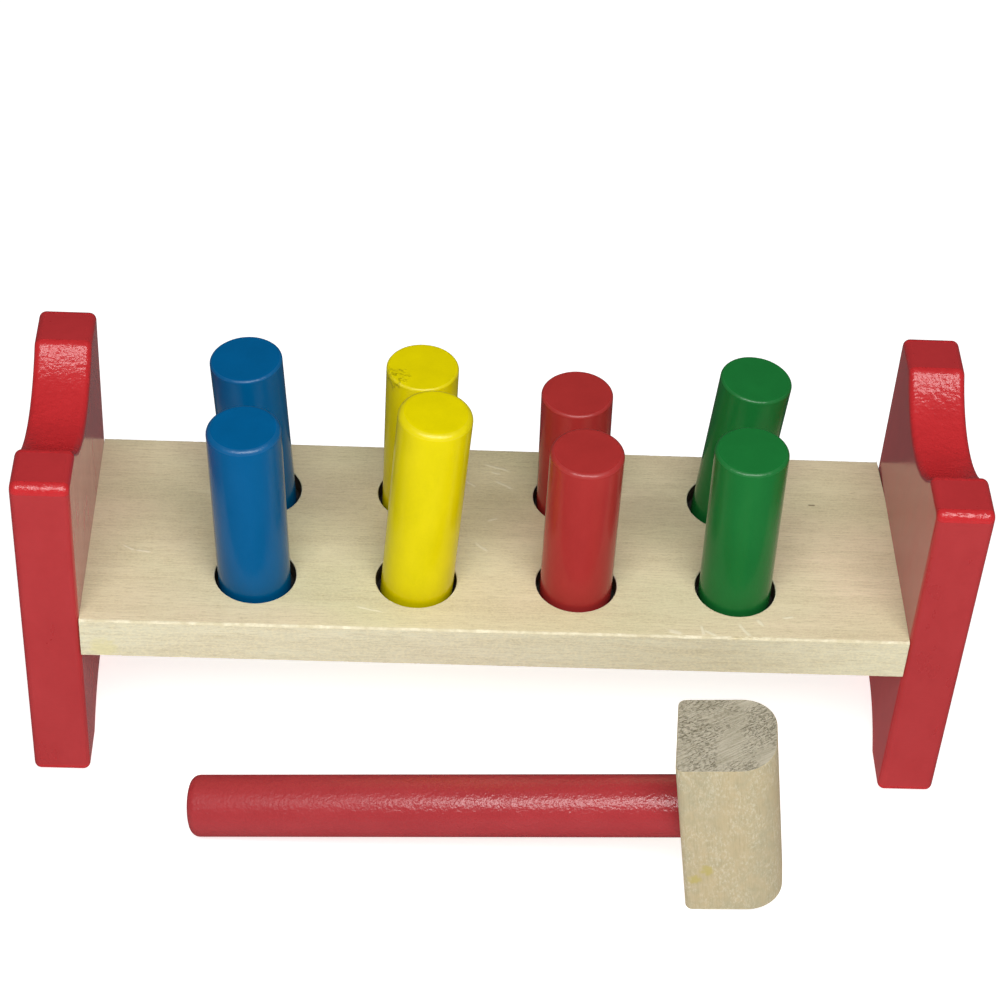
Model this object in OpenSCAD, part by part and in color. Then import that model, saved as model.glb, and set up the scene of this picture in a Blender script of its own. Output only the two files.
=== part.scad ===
// Peg pounding bench with its mallet: a wooden toy for a small child.
// A pale board with two rows of holes joins two painted end panels. Coloured pegs stand in the
// holes, each gripped by a rubber ring in a groove halfway down its hole. They are driven down,
// the bench is turned over on its other feet, and they are driven back.
// Millimetres. +X runs along the board to the right, +Y to the back and +Z up from the table.
// The origin is the bottom centre of the box round the bench and its mallet.

/* [Board] */
// Length of the board between the end panels
board_length = 256; // [212:1:400]
// Depth of the board from front to back
board_depth = 84.4; // [76:0.1:120]
// Thickness of the board
board_thickness = 15.5; // [12:0.5:24]
// Rounding of the board's four long edges
board_edge = 0.9; // [0.3:0.1:3]
// Gap left at the back of the right end, where the board is cut a little out of square
end_gap = 0.9; // [0.2:0.1:1.5]
// How far forward that gap runs from the back edge
end_gap_run = 17; // [5:1:30]

/* [Holes] */
// Holes in each row
hole_columns = 4; // [2:1:4]
// Distance of a row's two outer holes from the board's ends
hole_end_inset = 52.7; // [40:0.1:60]
// Distance of the front and the back row from the board's own face
hole_inset = 22.3; // [19:0.1:25]
// Chamfer round each end of a hole
hole_chamfer = 0.4; // [0.2:0.1:1]

/* [End panels] */
// Thickness of an end panel
panel_thickness = 17.8; // [14:0.1:30]
// Height of an end panel, from its feet to its horns
panel_height = 123.6; // [90:0.1:180]
// Rounding of the panel's four outer corners, seen from the side
panel_corner = 3; // [2:0.1:8]
// Rounding of the edges round the panel's two faces
panel_edge = 1.6; // [0.5:0.1:2.5]
// Width of the scoop in the top edge and of the arch between the feet
scoop_width = 50; // [30:1:64]
// Depth of the scoop and of the arch
scoop_depth = 11; // [6:0.5:20]
// Rounding where the scoop meets the flat top of a horn
scoop_lip = 3.5; // [2.6:0.1:5]

/* [Dowels] */
// Diameter of the glued dowels between the board and the panels
dowel_diameter = 8; // [6:0.5:9]
// Length of a dowel in the board
dowel_in_board = 20; // [10:1:30]
// Length of a dowel in a panel
dowel_in_panel = 12; // [6:0.5:13]
// Distance of a dowel from the board's front or back face
dowel_inset = 18; // [12:0.5:30]
// Chamfer at the ends of a dowel
dowel_chamfer = 0.8; // [0.3:0.1:1.5]
// Straight glue flutes round a dowel
dowel_flutes = 10; // [6:1:16]
// Depth of a glue flute
flute_depth = 0.4; // [0.2:0.1:0.8]
// Radial room for glue round a dowel, and at its ends
glue_room = 0.1; // [0.05:0.05:0.3]

/* [Pegs] */
// Diameter of a peg
peg_diameter = 22.6; // [18:0.1:24]
// Length of a peg
peg_length = 80; // [70:1:100]
// Rounding of a peg's ends
peg_edge = 1.5; // [0.5:0.1:4]
// Room between a straight peg and the wall of its hole
peg_slack = 1.4; // [1:0.05:3]
// Room that the most leaning peg keeps at the hole's rim
rim_room = 0.3; // [0.1:0.05:0.5]

/* [Grip rings] */
// Height of a rubber grip ring
ring_height = 3.2; // [2:0.1:5]
// Depth of the ring's groove in the wall of the hole
groove_depth = 2.3; // [1.5:0.1:3]
// Rounding of a ring's outer edges
ring_edge = 0.8; // [0.3:0.1:0.95]
// Radial room of a ring on its peg and in its groove
ring_fit = 0.05; // [0.02:0.01:0.1]
// Length of peg that stays below its ring when the peg is pulled up as far as it holds
ring_hold = 0.5; // [0.2:0.1:3]

/* [Mallet] */
// Width of the head along the handle
head_width = 30.1; // [24:0.1:40]
// Depth of the head across the handle
head_depth = 29.8; // [26:0.1:40]
// Height of the head from one striking face to the other
head_height = 63.6; // [50:0.1:80]
// Rounding of the two long edges away from the handle
head_round = 11; // [4:0.5:12]
// Rounding of the two long edges beside the handle
head_edge = 1.5; // [0.5:0.1:3]
// Diameter of the handle
handle_diameter = 19.5; // [14:0.1:24]
// Length of the handle outside the head
handle_length = 154.3; // [110:0.1:220]
// Rounding of the handle's free end
handle_edge = 2.8; // [1:0.1:6]
// Diameter of the tenon that is glued into the head
tenon_diameter = 13; // [10:0.5:13.5]
// Length of the tenon
tenon_length = 21; // [12:0.5:23]
// Chamfer at the end of the tenon
tenon_chamfer = 1; // [0.3:0.1:2]

/* [Mallet on the table] */
// Distance of the head's handle side to the right of the board's middle
mallet_right = 63.1; // [20:0.1:90]
// Distance of that side's middle in front of the bench
mallet_front = 35.9; // [30:0.1:80]
// Turn of the mallet seen from above
mallet_turn = -5.4; // [-10:0.1:10]

/* [Hidden] */
$fn = 96;
// One overrun for every cut
over = 1;

// Where each peg stands: colour, row (-1 front, 1 back) and column from the left
peg_names = ["blue_front", "blue_back", "yellow_front", "yellow_back",
             "red_front", "red_back", "green_front", "green_back"];
peg_colours = ["#14609e", "#e8dc00", "#ac3030", "#1f7a38"];
// Standing height of each peg, as a share of the greatest height at which its ring holds it
rise_shares = [0.87, 0.779, 0.99, 0.766, 0.795, 0.638, 0.83, 0.755];
// Sideways lean of each peg, as a share of the most that its hole allows, positive to the right
lean_shares = [-0.35, -0.58, 0.38, 0, -0.05, -0.21, -0.14, 0.51];
rows = 2;
peg_count = hole_columns * rows;
dowel_names = ["left_front", "left_back", "right_front", "right_back"];

board_middle = panel_height / 2;
board_top = board_middle + board_thickness / 2;
// The holes are spread evenly over the board, so that they keep their places on one of another size
hole_pitch = (board_length - 2 * hole_end_inset) / (hole_columns - 1);
row_spacing = board_depth - 2 * hole_inset;

// A circle through the scoop's two ends and its lowest point
scoop_radius = (pow(scoop_width / 2, 2) + pow(scoop_depth, 2)) / (2 * scoop_depth);
scoop_centre = panel_height / 2 + scoop_radius - scoop_depth;
// The lip is a circle that touches the horn's flat top and the scoop
lip_height = panel_height / 2 - scoop_lip;
lip_side = sqrt(pow(scoop_radius + scoop_lip, 2) - pow(scoop_centre - lip_height, 2));
// Where the lip touches the scoop, as a share of the way from the scoop's centre to the lip's
touch_share = scoop_radius / (scoop_radius + scoop_lip);
touch_side = lip_side * touch_share;

peg_radius = peg_diameter / 2;
hole_radius = peg_radius + peg_slack;
ring_radius = hole_radius + groove_depth - ring_fit;
// Greatest height above the board at which the ring still holds the whole round of a peg
rise_most = peg_length - (board_thickness + ring_height) / 2 - ring_hold - peg_edge / 3;
// Lean at which a peg's side comes within rim_room of its hole's rim
rim_reach = norm([hole_radius - rim_room, board_thickness / 2]);
lean_most = acos(peg_radius / rim_reach) - atan2(board_thickness / 2, hole_radius - rim_room);

dowel_radius = dowel_diameter / 2;
dowel_side = board_depth / 2 - dowel_inset;

handle_radius = handle_diameter / 2;
tenon_radius = tenon_diameter / 2;
// The mallet rests on the head's lower edge beside the handle and on the handle's rounded end
rest_run = handle_length - handle_edge;
rest_drop = head_height / 2 - handle_radius + handle_edge;
rest_lean = atan2(rest_drop, rest_run) - asin(handle_edge / norm([rest_run, rest_drop]));
// Foremost point of the head, on the rounded long edge away from the handle
head_round_side = (head_width - head_round) * cos(rest_lean);
head_front = mallet_front + board_depth / 2 - sin(mallet_turn) * head_round_side
    + (head_depth / 2 - head_round) * cos(mallet_turn)
    + head_round * norm([sin(mallet_turn) * cos(rest_lean), cos(mallet_turn)]);
// Moves the bench's middle so that the origin lies under the middle of the whole set
set_shift = (head_front - board_depth / 2) / 2;

function column_of(i) = floor(i / rows);
function row_of(i) = 2 * (i % rows) - 1;
function peg_colour(i) = peg_colours[column_of(i)];
function hole_place(i) = [(column_of(i) - (hole_columns - 1) / 2) * hole_pitch,
                          row_of(i) * row_spacing / 2, board_middle];
function lean_of(i) = lean_shares[i] * lean_most;
// Distance along the peg's own axis from the middle of the board to the peg's top
function top_of(i) = (rise_shares[i] * rise_most + board_thickness / 2) / cos(lean_of(i));

// A rectangle about the origin with round corners
module round_rectangle(width, height, radius) {
    square([width - 2 * radius, height], center = true);
    square([width, height - 2 * radius], center = true);
    for (x = [-1, 1], y = [-1, 1])
        translate([x * (width / 2 - radius), y * (height / 2 - radius)]) circle(radius);
}

// Turns an outline in the X and Y plane to face along the bench's X axis
module along_x(length) {
    rotate([90, 0, 90]) linear_extrude(length, center = true) children();
}

// Turns an outline in the X and Y plane to face along the bench's Y axis
module along_y(length) {
    rotate([90, 0, 0]) linear_extrude(length, center = true) children();
}

// A disc about the Z axis whose rims are rounded, used where two rounded edges run round a corner
module round_disc(radius, thickness, rim) {
    rotate_extrude() intersection() {
        round_rectangle(2 * radius, thickness, rim);
        translate([0, -thickness / 2]) square([radius, thickness]);
    }
}

// The scoop's cutter: a disc that flares at both faces, so that the scoop's edges come out round
module scoop_cutter() {
    flare = scoop_radius + panel_edge;
    rotate_extrude() difference() {
        translate([0, -panel_thickness / 2 - over]) square([flare, panel_thickness + 2 * over]);
        translate([scoop_radius, panel_edge - panel_thickness / 2])
            square([flare, panel_thickness - 2 * panel_edge]);
        for (side = [-1, 1])
            translate([flare, side * (panel_thickness / 2 - panel_edge)]) circle(panel_edge);
    }
}

// One end panel about its own centre, with its thickness along X
module panel_blank() {
    intersection() {
        along_x(panel_thickness) round_rectangle(board_depth, panel_height, panel_corner);
        linear_extrude(panel_height, center = true)
            round_rectangle(panel_thickness, board_depth, panel_edge);
        along_y(board_depth) round_rectangle(panel_thickness, panel_height, panel_edge);
    }
}

// What the scoop takes from the top edge, up to the lips
module scoop_cut() {
    translate([0, 0, scoop_centre]) rotate([0, 90, 0]) scoop_cutter();
    along_x(panel_thickness + 2 * over)
        polygon([[0, scoop_centre], [lip_side, lip_height], [lip_side, scoop_centre + over],
                 [-lip_side, scoop_centre + over], [-lip_side, lip_height]]);
}

module panel_body() {
    difference() {
        panel_blank();
        for (up = [0, 1]) mirror([0, 0, up]) scoop_cut();
    }
    for (side = [-1, 1], up = [-1, 1])
        translate([0, side * lip_side, up * lip_height])
            rotate([0, 90, 0]) round_disc(scoop_lip, panel_thickness, panel_edge);
}

// Places the bench's pieces, which are drawn about the middle of the bench
module on_bench() {
    translate([0, set_shift, 0]) children();
}

// Dowel holes from a joint face at x = 0, going to -X in the board and to +X in the panel
module dowel_holes() {
    for (side = [-1, 1])
        translate([-dowel_in_board - glue_room, side * dowel_side, 0])
            rotate([0, 90, 0])
                cylinder(h = dowel_in_board + dowel_in_panel + 2 * glue_room, r = dowel_radius + glue_room);
}

module end_panel(side, shade) {
    color(shade) on_bench() translate([side * board_length / 2, 0, board_middle])
        mirror([side < 0 ? 1 : 0, 0, 0]) difference() {
            translate([panel_thickness / 2, 0, 0]) panel_body();
            dowel_holes();
        }
}

module left_end_panel() {
    end_panel(-1, "#b9373c");
}

module right_end_panel() {
    end_panel(1, "#b9373c");
}

// One hole right through the board, with its chamfers and the groove for its ring
module hole_cutter() {
    half = board_thickness / 2;
    groove = hole_radius + groove_depth;
    wide = hole_radius + hole_chamfer;
    rotate_extrude() for (up = [-1, 1]) polygon([
        [0, 0], [groove, 0], [groove, up * ring_height / 2], [hole_radius, up * ring_height / 2],
        [hole_radius, up * (half - hole_chamfer)], [wide, up * half], [wide, up * (half + over)],
        [0, up * (half + over)]]);
}

module board() {
    color("#d8cba4") on_bench() difference() {
        translate([0, 0, board_middle]) along_x(board_length)
            round_rectangle(board_depth, board_thickness, board_edge);
        for (i = [0:peg_count - 1]) translate(hole_place(i)) hole_cutter();
        for (side = [0, 1]) mirror([side, 0, 0])
            translate([board_length / 2, 0, board_middle]) dowel_holes();
        translate([0, 0, board_middle]) linear_extrude(board_thickness + 2 * over, center = true)
            polygon([[board_length / 2 - end_gap, board_depth / 2],
                     [board_length / 2, board_depth / 2 - end_gap_run],
                     [board_length / 2 + over, board_depth / 2 - end_gap_run],
                     [board_length / 2 + over, board_depth / 2 + over],
                     [board_length / 2 - end_gap, board_depth / 2 + over]]);
    }
}

// A beech dowel with chamfered ends and glue flutes, glued half into the board and half into a panel
module dowel(i) {
    side = i < rows ? -1 : 1;
    length = dowel_in_board + dowel_in_panel;
    color("#d9bf8c") on_bench() translate([side * board_length / 2, row_of(i) * dowel_side, board_middle])
        mirror([side < 0 ? 1 : 0, 0, 0]) translate([-dowel_in_board, 0, 0]) rotate([0, 90, 0])
            difference() {
                rotate_extrude() polygon([[0, 0], [dowel_radius - dowel_chamfer, 0],
                    [dowel_radius, dowel_chamfer], [dowel_radius, length - dowel_chamfer],
                    [dowel_radius - dowel_chamfer, length], [0, length]]);
                for (k = [0:dowel_flutes - 1]) rotate(k * 360 / dowel_flutes)
                    translate([dowel_radius, 0, -over]) cylinder(h = length + 2 * over, r = flute_depth);
            }
}

// Stands what it holds on a peg's own axis, with the middle of the board at its origin
module on_peg(i) {
    on_bench() translate(hole_place(i)) rotate([0, lean_of(i), 0]) children();
}

// A rubber ring in the hole's groove, whose bore leans with the peg that it grips
module ring(i) {
    color("#2c2a28") difference() {
        on_bench() translate(hole_place(i)) round_disc(ring_radius, ring_height, ring_edge);
        on_peg(i) cylinder(h = board_thickness, r = peg_radius + ring_fit, center = true);
    }
}

// A painted peg with rounded ends
module peg(i) {
    color(peg_colour(i)) on_peg(i) translate([0, 0, top_of(i) - peg_length / 2])
        round_disc(peg_radius, peg_length, peg_edge);
}

// Places the mallet's pieces. They are drawn with the handle along -X from the head, and the
// head's lower edge beside the handle at the origin
module on_table() {
    on_bench() translate([mallet_right, -board_depth / 2 - mallet_front, 0])
        rotate([0, 0, mallet_turn]) rotate([0, -rest_lean, 0]) children();
}

module mallet_head() {
    color("#cdbf9a") on_table() difference() {
        linear_extrude(head_height) {
            for (side = [-1, 1]) {
                translate([head_width - head_round, side * (head_depth / 2 - head_round)])
                    circle(head_round);
                translate([head_edge, side * (head_depth / 2 - head_edge)]) circle(head_edge);
            }
            translate([head_edge, -head_depth / 2])
                square([head_width - head_round - head_edge, head_depth]);
            translate([0, head_edge - head_depth / 2])
                square([head_edge, head_depth - 2 * head_edge]);
            translate([head_edge, head_round - head_depth / 2])
                square([head_width - head_edge, head_depth - 2 * head_round]);
        }
        translate([-over, 0, head_height / 2]) rotate([0, 90, 0])
            cylinder(h = over + tenon_length + glue_room, r = tenon_radius + glue_room);
    }
}

// A painted handle with a round free end, and the bare tenon that is glued into the head
module mallet_handle() {
    color("#b5283a") on_table() translate([0, 0, head_height / 2]) rotate([0, 90, 0])
        rotate_extrude() {
            polygon([[0, handle_edge - handle_length], [handle_radius, handle_edge - handle_length],
                [handle_radius, 0], [tenon_radius, 0], [tenon_radius, tenon_length - tenon_chamfer],
                [tenon_radius - tenon_chamfer, tenon_length], [0, tenon_length]]);
            translate([0, -handle_length]) square([handle_radius - handle_edge, 2 * handle_edge]);
            intersection() {
                translate([handle_radius - handle_edge, handle_edge - handle_length])
                    circle(handle_edge);
                translate([0, -handle_length]) square([handle_radius, 2 * handle_edge]);
            }
        }
}

board();
left_end_panel();
right_end_panel();
for (i = [0:len(dowel_names) - 1])
    dowel(i);
for (i = [0:peg_count - 1])
    ring(i);
for (i = [0:peg_count - 1])
    peg(i);
mallet_head();
mallet_handle();
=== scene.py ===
from math import asin, cos, radians, sin

import bmesh
import bpy
from bpy.props import FloatProperty, FloatVectorProperty, PointerProperty
from bpy.types import Operator, Panel, PropertyGroup
from mathutils import Matrix, Vector, noise


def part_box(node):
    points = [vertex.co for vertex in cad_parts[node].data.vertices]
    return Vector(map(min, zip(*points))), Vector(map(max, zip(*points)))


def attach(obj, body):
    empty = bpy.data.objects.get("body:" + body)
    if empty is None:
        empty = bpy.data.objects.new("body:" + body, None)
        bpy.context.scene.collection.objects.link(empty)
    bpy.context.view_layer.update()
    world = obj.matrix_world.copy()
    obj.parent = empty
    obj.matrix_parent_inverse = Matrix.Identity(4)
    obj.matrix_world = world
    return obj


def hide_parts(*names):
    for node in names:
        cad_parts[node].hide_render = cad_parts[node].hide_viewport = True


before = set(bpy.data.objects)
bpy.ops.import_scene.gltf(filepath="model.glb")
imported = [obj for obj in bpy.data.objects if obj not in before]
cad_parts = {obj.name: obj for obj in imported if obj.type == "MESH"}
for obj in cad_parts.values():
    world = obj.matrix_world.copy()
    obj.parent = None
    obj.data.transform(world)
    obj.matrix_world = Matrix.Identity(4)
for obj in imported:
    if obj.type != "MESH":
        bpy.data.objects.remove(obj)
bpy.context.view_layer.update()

bl_info = {
    "name": "Peg pounding bench",
    "version": (1, 0, 0),
    "blender": (4, 5, 0),
    "location": "3D View > Sidebar > Bench",
    "description": "Builds a wooden peg pounding bench and its mallet, piece by piece",
    "category": "Object",
}

MM = 0.001
# Vertices nearer to each other than this, in metres, are in one place
CLOSE = 1e-6
# Facets round a turned piece
TURNED = 96
# Faces that meet at more than this angle show an edge
SHARP = radians(38)
# The 3D coordinate that runs with the grain: X along it, Y and Z across it
GRAIN = "grain"
# Where a piece's grain starts along X, in metres, so that no two pieces share a pattern
PANEL_GRAIN, PEG_GRAIN, HEAD_GRAIN, HANDLE_GRAIN = 0.5, 0.37, 5.0, 6.0

BOARD_LOW, BOARD_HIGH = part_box("board")
PANEL_LOW, PANEL_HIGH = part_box("left_end_panel")

# Each peg: name, column from the left, row (-1 front, 1 back), lean to the right in degrees,
# distance of its top from the board's middle along the peg, and the rounding of its ends
PEGS = (
    ("blue_front", 0, -1, -2.587, 68.415, 1.9),
    ("blue_back", 0, 1, -4.287, 62.181, 1.0),
    ("yellow_front", 1, -1, 2.809, 76.796, 2.2),
    ("yellow_back", 1, 1, 0.0, 61.102, 0.9),
    ("red_front", 2, -1, -0.37, 63.123, 1.5),
    ("red_back", 2, 1, -1.552, 52.206, 1.0),
    ("green_front", 3, -1, -1.035, 65.570, 1.3),
    ("green_back", 3, 1, 3.769, 60.467, 1.0),
)

# Chips along the board's upper front edge, in millimetres: distance of the middle from the board's
# middle, half the length, and depth
CHIPS = (
    (-74.0, 9.0, 0.35), (-56.0, 6.0, 0.45), (-3.5, 5.5, 0.3), (61.0, 5.0, 0.35),
    (74.5, 4.0, 0.8), (79.5, 3.2, 0.7), (85.0, 4.0, 0.4), (108.0, 5.0, 0.3),
)

# Light bruises on the board's top, in millimetres from its middle: start, end, and width
BRUISES = (
    (-4.1, 35.2, 5.7, 31.5, 1.0), (-1.4, 31.2, 2.2, 30.4, 0.8), (-0.2, 27.3, 6.3, 22.7, 1.0),
    (-9.9, 26.5, -6.0, 23.8, 0.8), (-2.7, 7.6, 0.9, 8.7, 0.9), (-6.6, -2.4, -2.2, -6.8, 1.1),
    (-43.9, -32.7, -34.6, -35.4, 0.8), (-117.7, -8.2, -113.5, -10.6, 0.8),
    (-113.5, -10.6, -108.5, -11.0, 0.8), (53.0, -39.6, 57.5, -40.9, 1.6),
    (63.3, -36.6, 64.0, -41.8, 1.1), (63.9, -38.8, 68.2, -41.6, 1.2),
    (75.0, -35.6, 78.5, -41.6, 1.3), (80.8, -33.5, 83.2, -36.8, 1.0),
    (88.9, -32.9, 92.8, -32.1, 1.1), (22.0, 33.3, 27.0, 34.5, 0.6),
)

# A small dark mark on the board's top, given like the bruises
GRIME = (102.0, 19.7, 104.6, 19.6, 0.8)

# Yellow stains on the board's front face and on the head's side, and a knock on the back yellow
# peg's top: a point of the piece's grain coordinates and a radius, in millimetres
BOARD_STAIN = (-121.0, -42.2, -4.0, 8.0)
HEAD_STAINS = ((5018.7, -14.9, -7.7, 4.4), (5014.6, -14.9, -3.7, 4.0))
SCARS = {"yellow": (1150.0, -5.5, 8.0, 7.0)}

# The held part of the handle, whose grain coordinates run from 5846 mm at the free end to 6000 mm
# at the head: half of its gloss is gone up to the first distance, none beyond the second
GRIP = (5858.0, 5940.0)


def length(name, description, default):
    """A size in metres."""
    return FloatProperty(name=name, description=description, default=default, min=0.0,
                         precision=5, unit="LENGTH")


def degrees(name, description, default):
    """An angle, given in degrees."""
    return FloatProperty(name=name, description=description, default=radians(default),
                         unit="ROTATION")


def number(name, description, default):
    """A number without a unit."""
    return FloatProperty(name=name, description=description, default=default)


def linear(code):
    """The linear red, green and blue of an sRGB hex colour such as "#c8b48a"."""
    shades = [int(code[i:i + 2], 16) / 255 for i in (1, 3, 5)]
    return [s / 12.92 if s <= 0.04045 else ((s + 0.055) / 1.055) ** 2.4 for s in shades]


def paint(name, description, code):
    """A colour."""
    return FloatVectorProperty(name=name, description=description, subtype="COLOR", size=3,
                               min=0.0, max=1.0, default=linear(code))


class BenchSizes(PropertyGroup):
    board_length: length("Board length", "Between the end panels", BOARD_HIGH.x - BOARD_LOW.x)
    board_depth: length("Board depth", "From front to back", BOARD_HIGH.y - BOARD_LOW.y)
    board_thickness: length("Board thickness", "From top to bottom", BOARD_HIGH.z - BOARD_LOW.z)
    board_edge: length("Board edge", "Rounding of the board's long edges", 0.7 * MM)
    end_gap: length("End gap", "Gap left at the back of the board's right end", 0.65 * MM)
    end_gap_run: length("End gap run", "How far forward that gap runs", 17 * MM)
    hole_pitch: length("Hole pitch", "Between the holes of a row", 50.2 * MM)
    row_spacing: length("Row spacing", "Between the two rows of holes", 39.8 * MM)
    hole_diameter: length("Hole diameter", "Diameter of a peg's hole", 25.4 * MM)
    hole_edge: length("Hole edge", "Rounding of a hole's rims", 0.4 * MM)
    groove_diameter: length("Groove diameter", "Diameter of the groove for a grip ring", 30 * MM)
    groove_height: length("Groove height", "Height of that groove", 3.2 * MM)
    panel_thickness: length("Panel thickness", "From face to face", PANEL_HIGH.x - PANEL_LOW.x)
    panel_height: length("Panel height", "From the feet to the horns", PANEL_HIGH.z - PANEL_LOW.z)
    panel_corner: length("Panel corner", "Rounding of the panel's outer corners", 3 * MM)
    panel_edge: length("Panel edge", "Rounding of the edges round the faces", 2.2 * MM)
    scoop_width: length("Scoop width", "Width of the scoop in the top edge", 50 * MM)
    scoop_depth: length("Scoop depth", "Depth of the scoop", 11 * MM)
    scoop_lip: length("Scoop lip", "Rounding where the scoop meets a horn", 3.5 * MM)
    peg_diameter: length("Peg diameter", "Diameter of a peg", 22.6 * MM)
    peg_length: length("Peg length", "Length of a peg", 80 * MM)


class MalletSizes(PropertyGroup):
    head_width: length("Head width", "Along the handle", 30.1 * MM)
    head_depth: length("Head depth", "Across the handle", 29.8 * MM)
    head_height: length("Head height", "From one striking face to the other", 63.6 * MM)
    head_round: length("Head rounding", "Long edges away from the handle", 11 * MM)
    head_edge: length("Head edge", "Long edges beside the handle", 2.3 * MM)
    head_rim: length("Head rim", "Wear round the striking faces", 0.45 * MM)
    handle_diameter: length("Handle diameter", "Diameter of the handle", 19.5 * MM)
    handle_length: length("Handle length", "Outside the head", 154.3 * MM)
    handle_edge: length("Handle edge", "Rounding of the free end", 2.8 * MM)
    tenon_diameter: length("Tenon diameter", "Tenon that is glued into the head", 13 * MM)
    tenon_length: length("Tenon length", "Tenon that is glued into the head", 21 * MM)
    tenon_edge: length("Tenon edge", "Chamfer at the tenon's end", 1 * MM)
    place: FloatVectorProperty(
        name="Place", description="The head's lower edge beside the handle", unit="LENGTH",
        subtype="TRANSLATION", default=(63.1 * MM, -51.8198 * MM, 0.0))
    turn: degrees("Turn", "Seen from above", -5.4)
    rest: degrees("Rest", "Tilt at which the handle rests on the table", 8.27)


class Finishes(PropertyGroup):
    lime_wood: paint("Lime wood", "Planed board", "#e8ddb7")
    lime_streak: paint("Lime wood streaks", "Darker grain of the board", "#b9a984")
    # Also laid along the rounded edges and hole rims, where it partly paints a highlight
    fresh_wood: paint("Fresh wood", "Chipped and rubbed edges", "#f0e8cc")
    head_wood: paint("Head wood", "Sides of the mallet's head", "#baab88")
    head_end: paint("Head end grain", "Striking faces of the mallet's head", "#c0b8a4")
    beech: paint("Beech", "Dowels", "#d9bf8c")
    rubber: paint("Rubber", "Grip rings", "#2c2a28")
    # Painted shade: the walls of the holes are drawn dark for the shade deep inside them
    hole_wall_shade: paint("Scorched wood", "Walls of the drilled holes", "#57493a")
    blue: paint("Blue enamel", "Blue pegs", "#00588c")
    yellow: paint("Yellow enamel", "Yellow pegs", "#dccc00")
    red: paint("Red enamel", "Red pegs", "#a5302e")
    green: paint("Green enamel", "Green pegs", "#1a6e31")
    panel_red: paint("Panel red", "End panels", "#b02e31")
    # Painted light: the scoops and outer corners are drawn a brighter red where they face the key
    # light
    painted_light_red: paint("Polished red", "Scoops and outer corners of the panels", "#bf292d")
    handle_red: paint("Handle red", "Mallet's handle", "#a73337")
    acrylic: paint("Opal acrylic", "Floor", "#cfcfcf")


class Studio(PropertyGroup):
    camera_place: FloatVectorProperty(
        name="Camera place", description="Where the camera stands", unit="LENGTH",
        subtype="TRANSLATION", default=(-0.0369, -0.59691, 0.65725))
    camera_turn: FloatVectorProperty(
        name="Camera turn", description="How the camera is turned", unit="ROTATION",
        subtype="EULER", default=(radians(47.461), radians(-2.969), radians(-0.72)))
    focal_length: number("Focal length", "In millimetres, on a 36 mm sensor", 96.745)
    key_power: number("Key light", "Watts of the soft light near the camera", 8.8)
    key_size: FloatVectorProperty(name="Key size", description="Width and height of that light",
                                  unit="LENGTH", size=2, default=(0.9, 0.32))
    key_distance: length("Key distance", "From the bench to that light", 0.9)
    key_height: degrees("Key height", "How high that light stands", 55.5)
    key_side: degrees("Key side", "How far to the right that light stands", 1)
    ceiling_power: number("Ceiling light", "Watts of the light overhead", 8.0)
    ceiling_size: length("Ceiling size", "Side of the square light overhead", 3.0)
    ceiling_height: length("Ceiling height", "Height of the light overhead", 2.2)
    room_light: number("Room light", "Even light from all round", 0.07)
    floor_glow: number("Floor glow", "Light that comes through the floor", 0.77)


class Settings(PropertyGroup):
    bench: PointerProperty(type=BenchSizes)
    mallet: PointerProperty(type=MalletSizes)
    finishes: PointerProperty(type=Finishes)
    studio: PointerProperty(type=Studio)


def settings(context, *names):
    """The groups of settings of those names."""
    return [getattr(context.scene.pounding_bench, name) for name in names]


# Materials


def fill(tree, node, inputs):
    """Sets or links the inputs of a node, given in their order, or by name or number."""
    for key, value in inputs.items() if isinstance(inputs, dict) else enumerate(inputs):
        socket = node.inputs[key]
        if isinstance(value, bpy.types.NodeSocket):
            tree.links.new(value, socket)
        else:
            socket.default_value = (*value, 1.0) if socket.type == "RGBA" else value


def add(tree, kind, inputs=(), output=0, **options):
    """Adds a shader node with its options and its inputs, and gives that output of it."""
    made = tree.nodes.new("ShaderNode" + kind)
    for key, value in options.items():
        setattr(made, key, value)
    fill(tree, made, inputs)
    return made.outputs[output]


def new_material(name):
    """A material with a Principled shader, which the caller finishes: (material, tree, shader)."""
    material = bpy.data.materials.get(name)
    if material:
        bpy.data.materials.remove(material)
    material = bpy.data.materials.new(name)
    material.use_nodes = True
    tree = material.node_tree
    return material, tree, tree.nodes["Principled BSDF"]


def grain_noise(tree, along, across, detail=2.0, rough=0.5, shift=0.0, deep=None):
    """Noise whose flecks are about that long and wide in millimetres, along the grain. Deep is
    their size in the third direction, where it isn't the same as across."""
    stretched = add(tree, "Mapping", {
        "Vector": add(tree, "Attribute", output="Vector", attribute_name=GRAIN),
        "Location": (shift, shift, shift),
        "Scale": [1 / (size * MM) for size in (along, across, deep or across)]})
    return add(tree, "TexNoise", {
        "Vector": stretched, "Scale": 1.0, "Detail": detail, "Roughness": rough})


def laid_over(tree, ground, colour, value, low=0.0, high=1.0, most=1.0):
    """The ground with a colour over it: none where the value is low, and that share of it at most,
    where the value is high."""
    share = add(tree, "MapRange", (value, low, high, 0.0, most))
    return add(tree, "Mix", {0: share, 6: ground, 7: colour}, 2, data_type="RGBA")


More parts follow.
